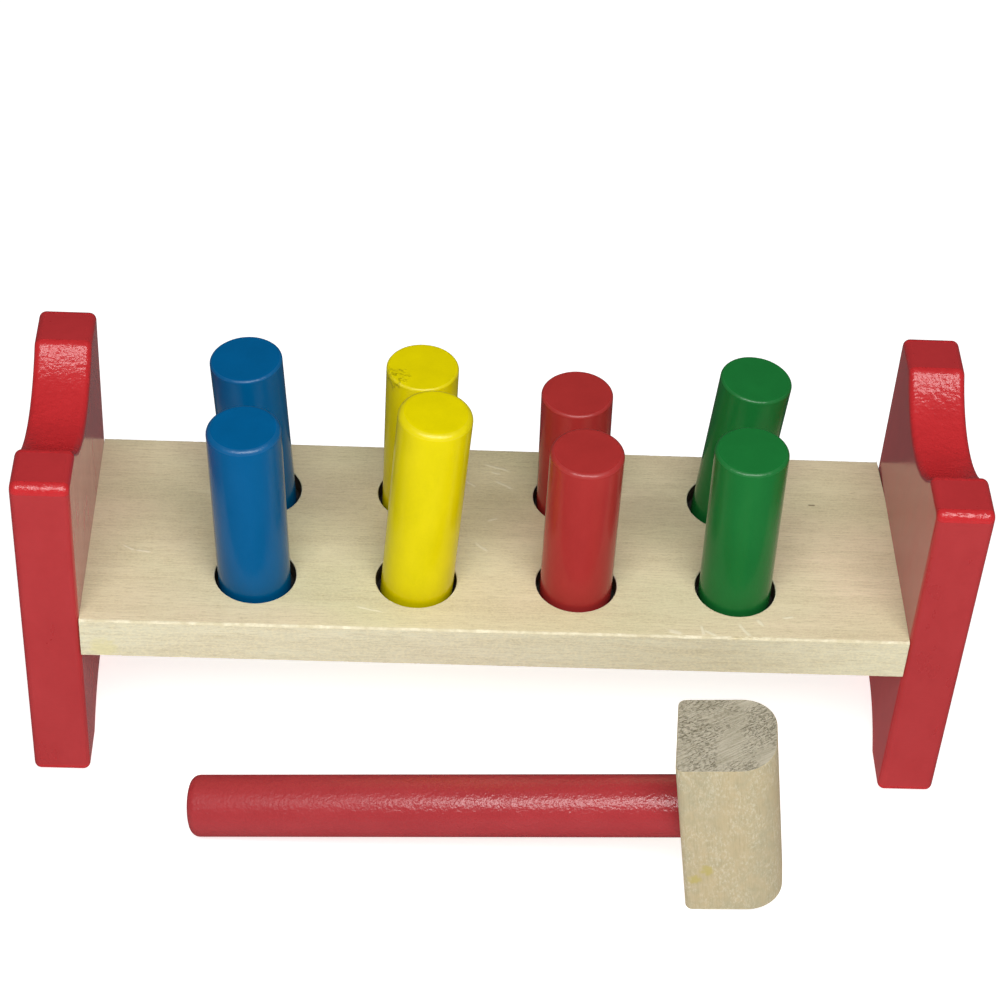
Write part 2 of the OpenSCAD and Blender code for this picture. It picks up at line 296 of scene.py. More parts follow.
def bruise(tree, x1, y1, x2, y2, width):
    """1 on a thin line between two points of the board's top, in millimetres, and 0 beside it."""
    start, end = Vector((x1, y1, 0)) * MM, Vector((x2, y2, 0)) * MM
    run = end - start
    where = add(tree, "Attribute", output="Vector", attribute_name=GRAIN)
    waver = add(tree, "TexNoise", {"Vector": where, "Scale": 320.0, "Detail": 2.0}, "Color")
    off = add(tree, "VectorMath", (waver, (0.5, 0.5, 0.5)), operation="SUBTRACT")
    # The line wavers by up to 0.6 mm to each side
    wavy = add(tree, "VectorMath", (off, (1.2 * MM, 1.2 * MM, 0.0), where),
               operation="MULTIPLY_ADD")
    turned = add(tree, "Mapping", {
        "Vector": wavy, "Location": start + run / 2,
        "Rotation": (0.0, 0.0, run.to_2d().angle_signed(Vector((1, 0))))}, vector_type="TEXTURE")
    shares = []
    for axis, clear, gone in (("Y", width * MM * 0.25, width * MM * 0.6),
                              ("X", run.length * 0.3, run.length * 0.5)):
        place = add(tree, "SeparateXYZ", [turned], axis)
        away = add(tree, "Math", [place], operation="ABSOLUTE")
        shares.append(add(tree, "MapRange", (away, clear, gone, 1.0, 0.0)))
    return add(tree, "Math", shares, operation="MULTIPLY")


def line_marks(tree, lines):
    """1 on any of the lines, each given as bruise takes it, and 0 elsewhere."""
    marks = bruise(tree, *lines[0])
    for line in lines[1:]:
        marks = add(tree, "Math", (marks, bruise(tree, *line)), operation="MAXIMUM")
    return marks


def stain(tree, x, y, z, radius):
    """1 round a point of the grain coordinates and 0 beyond the radius, with a ragged outline. The
    sizes are in millimetres."""
    where = add(tree, "Attribute", output="Vector", attribute_name=GRAIN)
    away = add(tree, "VectorMath", (where, Vector((x, y, z)) * MM), "Value", operation="DISTANCE")
    near = add(tree, "MapRange", (away, 0.0, radius * MM, 1.0, 0.0))
    ragged = grain_noise(tree, 2.5, 1.5, detail=3.0, shift=1.0)
    worn = add(tree, "Math", (near, ragged), operation="MULTIPLY")
    return add(tree, "MapRange", (worn, 0.2, 0.34))


def lime_board(colours, front):
    """Lime wood, planed and thinly lacquered: pale and even, with short fine dark flecks along the
    board, faint slow bands, and a few light bruises. Front is where the front face begins."""
    material, tree, shader = new_material("lime_wood_planed")
    # Vessel flecks about 4 mm long and 0.3 mm wide, drawn a little coarser than real ones
    flecks = grain_noise(tree, 4, 0.3, detail=4.0, rough=0.7)
    # Their longer and fainter kin, 14 mm long and 0.5 mm wide
    streaks = grain_noise(tree, 14, 0.5, detail=3.0, rough=0.6, shift=2.0)
    # Growth rings met at a flat angle: bands about 70 mm long and 5 mm wide
    bands = grain_noise(tree, 70, 5, detail=3.0, shift=3.0)
    # The tooth that sanding leaves, specks of 0.6 to 0.9 mm
    tooth = grain_noise(tree, 0.9, 0.6, rough=0.7, shift=9.0)
    # Slow change of tint, about 60 mm across
    tint = grain_noise(tree, 60, 45, shift=7.0)
    dark = colours.lime_streak
    ground = laid_over(tree, linear("#e8d6b6"), linear("#dcd5ae"), tint, 0.35, 0.65)
    # The front face has greyed a little
    where = add(tree, "Attribute", output="Vector", attribute_name=GRAIN)
    depth = add(tree, "SeparateXYZ", [where], "Y")
    greyed = laid_over(tree, ground, linear("#d4d0b6"), depth, front + 0.4 * MM, front, 0.8)
    banded = laid_over(tree, greyed, dark, bands, 0.4, 0.75, 0.3)
    streaked = laid_over(tree, banded, dark, streaks, 0.46, 0.7, 0.37)
    flecked = laid_over(tree, streaked, linear("#a08f66"), flecks, 0.5, 0.68, 0.45)
    toothed = laid_over(tree, flecked, colours.lime_wood, tooth, 0.42, 0.66, 0.5)
    marks = line_marks(tree, BRUISES)
    marked = laid_over(tree, toothed, colours.fresh_wood, marks, most=0.62)
    grimy = laid_over(tree, marked, linear("#6b5a3c"), bruise(tree, *GRIME), most=0.7)
    stained = laid_over(tree, grimy, linear("#d6cd8f"), stain(tree, *BOARD_STAIN), most=0.45)
    relief = add(tree, "Bump", {"Height": flecks, "Distance": 0.06 * MM})
    relief = add(tree, "Bump", {"Height": tooth, "Distance": 0.03 * MM, "Normal": relief})
    relief = add(tree, "Bump", {"Height": marks, "Distance": 0.08 * MM, "Normal": relief})
    fill(tree, shader, {
        "Base Color": stained, "Normal": relief, "IOR": 1.45, "Specular IOR Level": 0.35,
        "Roughness": add(tree, "MapRange", (flecks, 0.3, 0.7, 0.5, 0.66))})
    return material


def rubbed_edge_and_highlight(colours):
    """Bare lime wood where an edge is rubbed and chipped: dull, in some places paler than the
    planed faces, partly chipped wood and partly a painted highlight along the edge, and in others
    about as dark as the faces."""
    material, tree, shader = new_material("lime_wood_rubbed_edge")
    fibre = grain_noise(tree, 3, 0.3, detail=3.0)
    patchy = grain_noise(tree, 7, 7, detail=4.0, rough=0.7, shift=5.0)
    # The pale patches are partly fresh wood of the chips and partly a painted highlight along the
    # edge
    worn = laid_over(tree, linear("#d6cba8"), colours.fresh_wood, patchy, 0.42, 0.64)
    fill(tree, shader, {
        "Base Color": laid_over(tree, worn, colours.lime_streak, fibre, 0.5, 0.75, 0.35),
        "Normal": add(tree, "Bump", {"Height": fibre, "Distance": 0.08 * MM}),
        "Roughness": 0.7, "Specular IOR Level": 0.3})
    return material


def drilled_wall(colours):
    """The wall of a drilled hole: dull, with the drill's fine rings, drawn dark brown to near
    black as painted shade deep in the hole."""
    material, tree, shader = new_material("lime_wood_drilled_shaded")
    # Drill rings about 0.6 mm apart and 9 mm long
    rings = grain_noise(tree, 9, 9, deep=0.6)
    # Both browns are painted shade deep in the hole
    fill(tree, shader, {
        "Base Color": laid_over(tree, colours.hole_wall_shade, linear("#3a3124"), rings, 0.35, 0.65),
        "Normal": add(tree, "Bump", {"Height": rings, "Distance": 0.08 * MM}),
        "Roughness": 0.85, "Specular IOR Level": 0.2})
    return material


def enamel(name, colour, rough=0.2, gloss=0.14, grain=(5.0, 0.5, 0.5), telegraph=0.02,
           peel=0.8, peel_depth=0.008, dust=0.0, scar=None, held=None):
    """Enamel brushed on wood: an even strong colour with a soft gloss. The wood's grain shows
    through as faint ridges of that length, width and depth in millimetres, and the gloss breaks up
    on them and on the film's own orange peel. A scar is a dented and scratched place, given as
    stain takes it. Held is where hands have rubbed the gloss off, given as GRIP."""
    material, tree, shader = new_material(name)
    ridges = grain_noise(tree, *grain[:2], deep=grain[2], rough=0.55)
    ripple = grain_noise(tree, peel, peel, rough=0.6, shift=2.0)
    # Thicker and thinner paint, in patches of 18 mm by 9 mm
    film = grain_noise(tree, 18, 9, detail=4.0, rough=0.6, shift=4.0)
    deep = [c * 0.9 for c in colour]
    light = [min(1.0, c * 1.06) for c in colour]
    body = laid_over(tree, deep, light, film, 0.2, 0.8)
    streaked = laid_over(tree, body, deep, ridges, 0.5, 0.75, 0.25)
    speckled = laid_over(tree, streaked, light, ripple, 0.4, 0.75, 0.3)
    dullness = add(tree, "MapRange", (film, 0.2, 0.8, rough - 0.05, rough + 0.05))
    if held:
        where = add(tree, "Attribute", output="Vector", attribute_name=GRAIN)
        along = add(tree, "SeparateXYZ", [where], "X")
        ends = [end * MM for end in held]
        rubbed = add(tree, "MapRange", (along, *ends, 1.8, 1.0))
        dullness = add(tree, "Math", (dullness, rubbed), operation="MULTIPLY")
        gloss = add(tree, "MapRange", (along, *ends, gloss * 0.5, gloss))
    relief = add(tree, "Bump", {"Height": ridges, "Distance": telegraph * MM})
    relief = add(tree, "Bump", {"Height": ripple, "Distance": peel_depth * MM, "Normal": relief})
    if scar:
        # Dents about 1.4 mm across, with scratches between them
        dents = grain_noise(tree, 1.4, 1.4, detail=3.0, rough=0.7, shift=5.0)
        hurt = stain(tree, *scar)
        dented = add(tree, "Math", (hurt, dents), operation="MULTIPLY")
        deepest = add(tree, "MapRange", (dents, 0.52, 0.6))
        scratches = add(tree, "Math", (hurt, deepest), operation="MULTIPLY")
        speckled = laid_over(tree, speckled, [c * 0.45 for c in colour], scratches, most=0.8)
        relief = add(tree, "Bump", {"Height": dented, "Distance": 0.5 * MM, "Normal": relief})
    # The sheen is a film of fine dust, which greys a face that is seen at a flat angle
    fill(tree, shader, {
        "Base Color": speckled, "Roughness": dullness, "Normal": relief, "IOR": 1.5,
        "Specular IOR Level": gloss, "Sheen Weight": dust, "Sheen Roughness": 0.3})
    return material


def head_side(colours):
    """Bare unfinished lime wood of the mallet's head: warm and dull, with fine upright grain, pale
    raised fibres in patches, small dents and a yellow stain."""
    material, tree, shader = new_material("lime_wood_bare")
    # Upright grain, lines about 8 mm long and 0.35 mm wide
    fine = grain_noise(tree, 8, 0.35, detail=4.0, rough=0.65)
    # Blotches of about 3 mm where the grain is rough
    blotches = grain_noise(tree, 4, 2.5, detail=4.0, rough=0.7, shift=11.0)
    # Raised fibres, scribbles of about 1.6 mm by 0.7 mm that come in patches of 9 mm by 6 mm
    fuzz = grain_noise(tree, 1.6, 0.7, detail=4.0, rough=0.75, shift=3.0)
    patches = grain_noise(tree, 9, 6, shift=8.0)
    tint = grain_noise(tree, 22, 9, detail=3.0, shift=6.0)
    ground = laid_over(tree, colours.head_wood, linear("#b0a688"), tint, 0.36, 0.62)
    streaked = laid_over(tree, ground, linear("#95855f"), fine, 0.44, 0.7, 0.34)
    blotchy = laid_over(tree, streaked, linear("#c9b48e"), blotches, 0.4, 0.66, 0.4)
    raised = add(tree, "MapRange", (fuzz, 0.48, 0.64))
    inside = add(tree, "MapRange", (patches, 0.36, 0.56))
    fibres = add(tree, "Math", (raised, inside), operation="MULTIPLY")
    colour = laid_over(tree, blotchy, linear("#d3ccb2"), fibres, most=0.55)
    for place in HEAD_STAINS:
        colour = laid_over(tree, colour, linear("#b6a763"), stain(tree, *place), most=0.8)
    relief = add(tree, "Bump", {"Height": fine, "Distance": 0.1 * MM})
    relief = add(tree, "Bump", {"Height": fuzz, "Distance": 0.12 * MM, "Normal": relief})
    fill(tree, shader, {
        "Base Color": colour, "Normal": relief, "Roughness": 0.8, "Specular IOR Level": 0.25})
    return material


def head_end(colours):
    """End grain of lime wood as the saw left it: greyer and darker than the sides, with slanting
    saw lines and patches of torn fibre."""
    material, tree, shader = new_material("lime_wood_end_grain")
    where = add(tree, "Attribute", output="Vector", attribute_name=GRAIN)

    def slanted(long, wide, rough):
        """Noise whose flecks lie along the saw lines, of that length and width in millimetres."""
        turned = add(tree, "Mapping", {
            "Vector": where, "Rotation": (radians(-58), 0.0, 0.0),
            "Scale": (4 * MM, long * MM, wide * MM)}, vector_type="TEXTURE")
        return add(tree, "TexNoise", {
            "Vector": turned, "Scale": 1.0, "Detail": 3.0, "Roughness": rough})

    lines = slanted(11, 0.5, 0.6)
    pits = slanted(1.3, 0.6, 0.7)
    patches = grain_noise(tree, 12, 12, shift=1.0)
    grit = grain_noise(tree, 0.8, 0.8, shift=5.0)
    lined = laid_over(tree, colours.head_end, linear("#7f785f"), lines, 0.38, 0.7, 0.6)
    speckled = laid_over(tree, lined, linear("#c0b9a3"), grit, 0.45, 0.75, 0.4)
    pitted = add(tree, "MapRange", (pits, 0.5, 0.66))
    inside = add(tree, "MapRange", (patches, 0.36, 0.54, 0.15, 1.0))
    torn = add(tree, "Math", (pitted, inside), operation="MULTIPLY")
    # Saw lines and torn places lie deeper
    relief = add(tree, "Bump", {"Height": lines, "Distance": 0.25 * MM}, invert=True)
    relief = add(tree, "Bump", {"Height": torn, "Distance": 0.25 * MM, "Normal": relief},
                 invert=True)
    fill(tree, shader, {
        "Base Color": laid_over(tree, speckled, linear("#756e55"), torn, most=0.7),
        "Normal": relief, "Roughness": 0.85, "Specular IOR Level": 0.2})
    return material


def fluted_beech(colours):
    """Fluted beech dowel: warm and plain, with fine darker flecks along it."""
    material, tree, shader = new_material("beech_dowel")
    # Ray flecks about 4 mm long and 0.4 mm wide
    stretched = add(tree, "Mapping", {
        "Vector": add(tree, "TexCoord", output="Object"),
        "Scale": (1 / (4 * MM), 1 / (0.4 * MM), 1 / (0.4 * MM))})
    flecks = add(tree, "TexNoise", {"Vector": stretched, "Scale": 1.0, "Detail": 3.0})
    fill(tree, shader, {
        "Base Color": laid_over(tree, colours.beech, linear("#a98352"), flecks, 0.45, 0.7, 0.6),
        "Normal": add(tree, "Bump", {"Height": flecks, "Distance": 0.04 * MM}),
        "Roughness": 0.6})
    return material


def moulded_rubber(colours):
    """Moulded rubber: near black and dull, with a fine grit that is paler where it is rubbed."""
    material, tree, shader = new_material("moulded_rubber")
    where = add(tree, "TexCoord", output="Object")
    # Talc and grit about 0.6 mm across
    grit = add(tree, "TexNoise", {"Vector": where, "Scale": 1 / (0.6 * MM), "Detail": 3.0})
    fill(tree, shader, {
        "Base Color": laid_over(tree, colours.rubber, linear("#4a4743"), grit, 0.5, 0.75),
        "Roughness": add(tree, "MapRange", (grit, 0.3, 0.7, 0.55, 0.75)),
        "Normal": add(tree, "Bump", {"Height": grit, "Distance": 0.03 * MM})})
    return material


def light_table(colours, glow):
    """Opal acrylic of a light table: matt white and even, with a barely visible tooth and light
    from below that keeps the shadows faint."""
    material, tree, shader = new_material("opal_acrylic")
    where = add(tree, "TexCoord", output="Object")
    # A tooth of about 1.5 mm
    tooth = add(tree, "TexNoise", {"Vector": where, "Scale": 1 / (1.5 * MM), "Detail": 2.0})
    shade = [c * 0.97 for c in colours.acrylic]
    fill(tree, shader, {
        "Base Color": laid_over(tree, colours.acrylic, shade, tooth), "Roughness": 0.9,
        "Specular IOR Level": 0.1, "Emission Color": (1.0, 1.0, 1.0), "Emission Strength": glow})
    return material


# Shapes


def new_object(name, data):
    """Adds an object to the scene."""
    made = bpy.data.objects.new(name, data)
    bpy.context.scene.collection.objects.link(made)
    return made


def make_piece(name, bm, body, materials, nodes, place, upright=True, offset=0.0):
    """Writes a bmesh as a piece that rides on a body and stands for CAD nodes. Its grain, along Z
    if it is drawn upright and else along X, is noted before it goes to its place."""
    grain = bm.verts.layers.float_vector.new(GRAIN)
    along = Matrix.Rotation(radians(90), 4, "Y") if upright else Matrix.Identity(4)
    for vert in bm.verts:
        vert[grain] = along @ vert.co + Vector((offset, 0, 0))
    bmesh.ops.transform(bm, matrix=place, verts=bm.verts)
    bmesh.ops.recalc_face_normals(bm, faces=bm.faces)
    for face in bm.faces:
        face.smooth = True
    mesh = bpy.data.meshes.new(name)
    bm.to_mesh(mesh)
    bm.free()
    mesh.set_sharp_from_angle(angle=SHARP)
    for material in materials:
        mesh.materials.append(material)
    piece = new_object(name, mesh)
    flat_faces = piece.modifiers.new("flat faces stay flat", "WEIGHTED_NORMAL")
    flat_faces.keep_sharp = True
    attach(piece, body)
    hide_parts(*nodes)


def verts_in(geom):
    """The vertices in what a bmesh operator has made."""
    return [g for g in geom if isinstance(g, bmesh.types.BMVert)]


def edges_in(geom):
    """The edges in what a bmesh operator has made."""
    return [g for g in geom if isinstance(g, bmesh.types.BMEdge)]


def round_off(bm, geom, offset, steps, affect="EDGES"):
    """Rounds edges, or the corners of a face, by an offset: the new faces."""
    return bmesh.ops.bevel(bm, geom=geom, offset=offset, offset_type="OFFSET", segments=steps,
                           profile=0.5, affect=affect, material=-1)["faces"]


def extrude_rim(bm, edges, move):
    """Extrudes open edges and moves what they lead to: the new edges."""
    made = bmesh.ops.extrude_edge_only(bm, edges=edges)["geom"]
    bmesh.ops.translate(bm, vec=move, verts=verts_in(made))
    return edges_in(made)


def widen(bm, edges, centre, old, new):
    """Scales a round rim about its centre from the old radius to the new one."""
    verts = {v for e in edges for v in e.verts}
    bmesh.ops.scale(bm, vec=(new / old, new / old, 1), space=Matrix.Translation(-centre),
                    verts=list(verts))


def hole_centres(s):
    """The middle of each hole, from the middle of the board."""
    return [Vector(((column - 1.5) * s.hole_pitch, row * s.row_spacing / 2, 0))
            for _, column, row, *_ in PEGS]


def board_shape(s):
    """The board about its own middle: the upper half is drawn and mirrored down."""
    bm = bmesh.new()
    # The strips beside the long edges are drawn apart, so that their edges bevel cleanly
    strip = 3 * MM
    # Steps along the long edges, fine enough for the chips
    steps = 640
    top, half = s.board_thickness / 2, s.board_depth / 2
    bmesh.ops.create_grid(bm, x_segments=1, y_segments=1, size=0.5,
                          matrix=Matrix.Translation((0, 0, top)))
    bmesh.ops.delete(bm, geom=bm.faces[:], context="FACES_ONLY")
    bmesh.ops.scale(bm, vec=(s.board_length, s.board_depth - 2 * strip, 1), verts=bm.verts)
    long_edges = [e for e in bm.edges if abs(e.verts[0].co.y - e.verts[1].co.y) < MM]
    bmesh.ops.subdivide_edges(bm, edges=long_edges, cuts=steps - 1)
    right = max(bm.edges, key=lambda e: e.verts[0].co.x + e.verts[1].co.x)
    low = min(right.verts, key=lambda v: v.co.y)
    gap_start = half - s.end_gap_run
    bmesh.utils.edge_split(right, low, (gap_start - low.co.y) / right.calc_length())
    radius = s.hole_diameter / 2
    outside = radius + s.hole_edge
    # A flat ring round each rim keeps the shading even
    ring = outside + 0.8 * MM
    centres = hole_centres(s)
    rims = []
    for centre in centres:
        place = Matrix.Translation(centre + Vector((0, 0, top)))
        made = bmesh.ops.create_circle(bm, segments=TURNED, radius=ring, matrix=place)["verts"]
        rims.append((centre, list({e for v in made for e in v.link_edges})))
    bmesh.ops.triangle_fill(bm, use_beauty=True, edges=bm.edges[:], normal=(0, 0, 1))
    for side in (-1, 1):
        y = side * (half - strip)
        edge = [e for e in bm.edges
                if e.is_boundary and all(abs(v.co.y - y) < CLOSE for v in e.verts)]
        extrude_rim(bm, edge, (0, side * strip, 0))
    outer = [e for e in bm.edges if e.is_boundary and not any(e in rim for _, rim in rims)]
    extrude_rim(bm, outer, (0, 0, -top))
    for centre, rim in rims:
        rim = extrude_rim(bm, rim, (0, 0, 0))
        widen(bm, rim, centre, ring, outside)
        before = outside
        # A quarter round in three steps
        for step in (1, 2, 3):
            angle = radians(90) * step / 3
            rim = extrude_rim(bm, rim, (0, 0, top - s.hole_edge * (1 - cos(angle))
                                        - rim[0].verts[0].co.z))
            after = radius + s.hole_edge * (1 - sin(angle))
            widen(bm, rim, centre, before, after)
            before = after
        groove = s.groove_diameter / 2
        rim = extrude_rim(bm, rim, (0, 0, s.groove_height / 2 - rim[0].verts[0].co.z))
        rim = extrude_rim(bm, rim, (0, 0, 0))
        widen(bm, rim, centre, radius, groove)
        extrude_rim(bm, rim, (0, 0, -s.groove_height / 2))
    for vert in bm.verts:
        at_end = vert.co.x > s.board_length / 2 - 0.1 * MM
        if at_end and vert.co.y > gap_start:
            vert.co.x -= s.end_gap * (vert.co.y - gap_start) / s.end_gap_run
    bmesh.ops.mirror(bm, geom=bm.verts[:] + bm.edges[:] + bm.faces[:], merge_dist=CLOSE, axis="Z")
    bmesh.ops.remove_doubles(bm, verts=bm.verts, dist=CLOSE)
    bmesh.ops.recalc_face_normals(bm, faces=bm.faces)
    arrises = [e for e in bm.edges if all(
        abs(abs(v.co.y) - half) < CLOSE and abs(abs(v.co.z) - top) < CLOSE for v in e.verts)]
    # The rounded edges and the hole rims take the pale edge wood, partly a painted highlight along
    # them
    for face in round_off(bm, arrises, s.board_edge, 5):
        face.material_index = 1
    for face in bm.faces:
        middle = face.calc_center_median()
        if min((middle.xy - centre.xy).length for centre in centres) < outside:
            # Rims take the pale edge wood, and walls the dark painted shade of the deep holes
            face.material_index = 1 if abs(middle.z) > top - s.hole_edge else 2
    return bm


def wear_edges(bm, s):
    """Dents the board's long edges, and chips the upper one in front."""
    half, top, reach = s.board_depth / 2, s.board_thickness / 2, 1.01 * s.board_edge
    for vert in bm.verts:
        x, y, z = vert.co
        from_side, from_top = half - abs(y), top - abs(z)
        if from_side >= reach or from_top >= reach:
            continue
        # How near the vertex is to the middle of the rounded edge
        share = 1 - abs(from_side - from_top) / s.board_edge
        # Dents about 1.1 mm long and up to 0.1 mm deep, more of them in some stretches of 14 mm
        fine = noise.noise(Vector((x / (1.1 * MM), y / (2 * MM), z / (2 * MM))))
        slow = noise.noise(Vector((x / (14 * MM), 3.0, 0)))
        depth = 0.10 * MM * max(0.0, fine + 0.1) * (1 + slow)
        if y < 0 < z:
            for middle, run, deep in CHIPS:
                near = 1 - abs(x / MM - middle) / run
                if near > 0:
                    ragged = noise.noise(Vector((x / (0.8 * MM), z / (0.5 * MM), middle)))
                    depth += deep * MM * min(1.0, 2 * near) * max(0.0, 0.6 + 0.8 * ragged)
        inward = Vector((0, -1 if y > 0 else 1, -1 if z > 0 else 1)).normalized()
        vert.co += inward * depth * max(0.0, min(1.0, share * 1.6))


def arc(bm, vert, centre, angle, steps):
    """Sweeps a vertex about an axis along X through the centre, leaving edges: the last vertex."""
    swept = bmesh.ops.spin(bm, geom=[vert], cent=centre, axis=(1, 0, 0), dvec=(0, 0, 0),
                           angle=angle, steps=steps, use_merge=False)
    return verts_in(swept["geom_last"])[0]


def straight(bm, vert, end):
    """Draws an edge from a vertex to a point: the new vertex."""
    made = bmesh.ops.extrude_vert_indiv(bm, verts=[vert])["verts"][0]
    made.co = end
    return made


def panel_shape(s):
    """An end panel about its own middle: a quarter of its outline is drawn, mirrored twice, filled
    and given its thickness."""
    bm = bmesh.new()
    high, deep = s.panel_height / 2, s.board_depth / 2
    radius = ((s.scoop_width / 2) ** 2 + s.scoop_depth ** 2) / (2 * s.scoop_depth)
    scoop_middle = high + radius - s.scoop_depth
    lip_z = high - s.scoop_lip
    lip_y = ((radius + s.scoop_lip) ** 2 - (scoop_middle - lip_z) ** 2) ** 0.5
    swing = asin(lip_y / (radius + s.scoop_lip))
    vert = bmesh.ops.create_vert(bm, co=(0, 0, scoop_middle - radius))["vert"][0]
    vert = arc(bm, vert, (0, 0, scoop_middle), swing, 40)
    vert = arc(bm, vert, (0, lip_y, lip_z), -swing, 10)
    vert = straight(bm, vert, (0, deep - s.panel_corner, high))
    vert = arc(bm, vert, (0, deep - s.panel_corner, high - s.panel_corner), radians(-90), 10)
    straight(bm, vert, (0, deep, 0))
    for axis in "YZ":
        bmesh.ops.mirror(bm, geom=bm.verts[:] + bm.edges[:], merge_dist=CLOSE, axis=axis)
    bmesh.ops.remove_doubles(bm, verts=bm.verts, dist=CLOSE)
    bmesh.ops.contextual_create(bm, geom=bm.edges[:])
    made = bmesh.ops.extrude_face_region(bm, geom=bm.faces[:])["geom"]
    bmesh.ops.translate(bm, vec=(s.panel_thickness, 0, 0), verts=verts_in(made))
    bmesh.ops.translate(bm, vec=(-s.panel_thickness / 2, 0, 0), verts=bm.verts)
    bmesh.ops.recalc_face_normals(bm, faces=bm.faces)
    rims = [e for e in bm.edges if abs(e.verts[0].co.x - e.verts[1].co.x) < CLOSE]
    round_off(bm, rims, s.panel_edge, 6)
    for face in bm.faces:
        middle = face.calc_center_median()
        y, z = abs(middle.y), abs(middle.z)
        # Scoops and outer corners take the glossier enamel with the brighter red of painted light
        lit_and_glossy = (z > high - s.scoop_depth - MM and y < lip_y
                    or z > high - s.panel_corner and y > deep - s.panel_corner)
        face.material_index = 0 if abs(face.normal.x) > 0.8 else 2 if lit_and_glossy else 1
    return bm


def face_rings(bm, face, radius, count):
    """Divides a round end face into that many rings, the last of them closed at its middle."""
    step = radius / count
    for _ in range(count - 1):
        bmesh.ops.inset_region(bm, faces=[face], thickness=step, use_even_offset=True)
    bmesh.ops.poke(bm, faces=[face])


def turned_shape(radius, height, low_edge, high_edge):
    """A turned piece about its own middle, along Z, with rounded rims."""
    bm = bmesh.new()
    bmesh.ops.create_cone(bm, cap_ends=True, segments=TURNED, radius1=radius, radius2=radius,
                          depth=height)
    for side, edge in ((-1, low_edge), (1, high_edge)):
        if not edge:
            continue
        rim = [e for e in bm.edges
               if all(abs(v.co.z - side * height / 2) < CLOSE for v in e.verts)]
        round_off(bm, rim, edge, 7)
    return bm


def end_face(bm, side):
    """The flat round face at the top (1) or the bottom (-1) of a turned piece."""
    return max(bm.faces, key=lambda f: (len(f.verts) > 4, side * f.calc_center_median().z))


def peg_shape(s, edge, seed):
    """A peg about its own middle, with gently uneven ends from the blows of the mallet."""
    bm = turned_shape(s.peg_diameter / 2, s.peg_length, edge * MM, edge * MM)
    for side in (1, -1):
        face_rings(bm, end_face(bm, side), s.peg_diameter / 2 - edge * MM, 14)
    for vert in bm.verts:
        x, y, z = vert.co
        if abs(z) > s.peg_length / 2 - 2.5 * MM:
            # Up to 0.12 mm lower, in places about 6 mm across
            uneven = noise.noise(Vector((x / (6 * MM), y / (6 * MM), seed + z)))
            vert.co.z -= (0.06 * MM) * (1 + uneven) * (1 if z > 0 else -1)
    # The rims, between the side and the end
    for face in bm.faces:
        face.material_index = 1 if 0.15 < abs(face.normal.z) < 0.96 else 0
    return bm


def handle_shape(m):
    """The handle along Z, free end down, with its tenon above: the tenon's shoulder is at the
    head's side."""
    bm = turned_shape(m.handle_diameter / 2, m.handle_length, m.handle_edge, 0.0)
    face_rings(bm, end_face(bm, -1), m.handle_diameter / 2 - m.handle_edge, 10)
    shoulder = end_face(bm, 1)
    bmesh.ops.inset_region(bm, faces=[shoulder], use_even_offset=True,
                           thickness=(m.handle_diameter - m.tenon_diameter) / 2)
    tip = bmesh.ops.extrude_face_region(bm, geom=[shoulder])["geom"]
    bmesh.ops.delete(bm, geom=[shoulder], context="FACES_ONLY")
    bmesh.ops.translate(bm, vec=(0, 0, m.tenon_length), verts=verts_in(tip))
    round_off(bm, edges_in(tip), m.tenon_edge, 1)
    bmesh.ops.translate(bm, vec=(0, 0, -m.handle_length / 2), verts=bm.verts)
    return bm


def head_shape(m):
    """The mallet's head, standing on a striking face, with the handle's side at x = 0."""
    bm = bmesh.new()
    bmesh.ops.create_grid(bm, x_segments=1, y_segments=1, size=0.5,
                          matrix=Matrix.Translation((0.5, 0, 0)))
    bmesh.ops.scale(bm, vec=(m.head_width, m.head_depth, 1), verts=bm.verts)
    for near, rounding, steps in ((True, m.head_edge, 5), (False, m.head_round, 16)):
        corners = [v for v in bm.verts if (v.co.x < m.head_width / 10) == near]
        round_off(bm, corners, rounding, steps, "VERTICES")
    made = bmesh.ops.extrude_face_region(bm, geom=bm.faces[:])["geom"]
    bmesh.ops.translate(bm, vec=(0, 0, m.head_height), verts=verts_in(made))
    bmesh.ops.recalc_face_normals(bm, faces=bm.faces)
    rims = [e for e in bm.edges if abs(e.verts[0].co.z - e.verts[1].co.z) < CLOSE]
    round_off(bm, rims, m.head_rim, 3)
    for face in bm.faces:
        if abs(face.normal.z) > 0.9:
            face.material_index = 1
    return bm


def bench_place(x=0.0):
    """The matrix that takes a piece drawn about the middle of the board to its place."""
    middle = (BOARD_LOW + BOARD_HIGH) / 2
    return Matrix.Translation((x, middle.y, middle.z))


def mallet_place(m):
    """The matrix that takes the mallet, drawn upright, to where it rests on the table."""
    return (Matrix.Translation(m.place) @ Matrix.Rotation(m.turn, 4, "Z")
            @ Matrix.Rotation(-m.rest, 4, "Y"))


# Operators


class BENCH_OT_board(Operator):
    """Adds the drilled board"""
    bl_idname = "bench.board"
    bl_label = "Board"

    def execute(self, context):
        s, colours = settings(context, "bench", "finishes")
        bm = board_shape(s)
        wear_edges(bm, s)
        front = -s.board_depth / 2
        woods = [lime_board(colours, front), rubbed_edge_and_highlight(colours), drilled_wall(colours)]
        make_piece("board_dressed", bm, "bench", woods, ["board"], bench_place(),
                   upright=False)
        return {"FINISHED"}


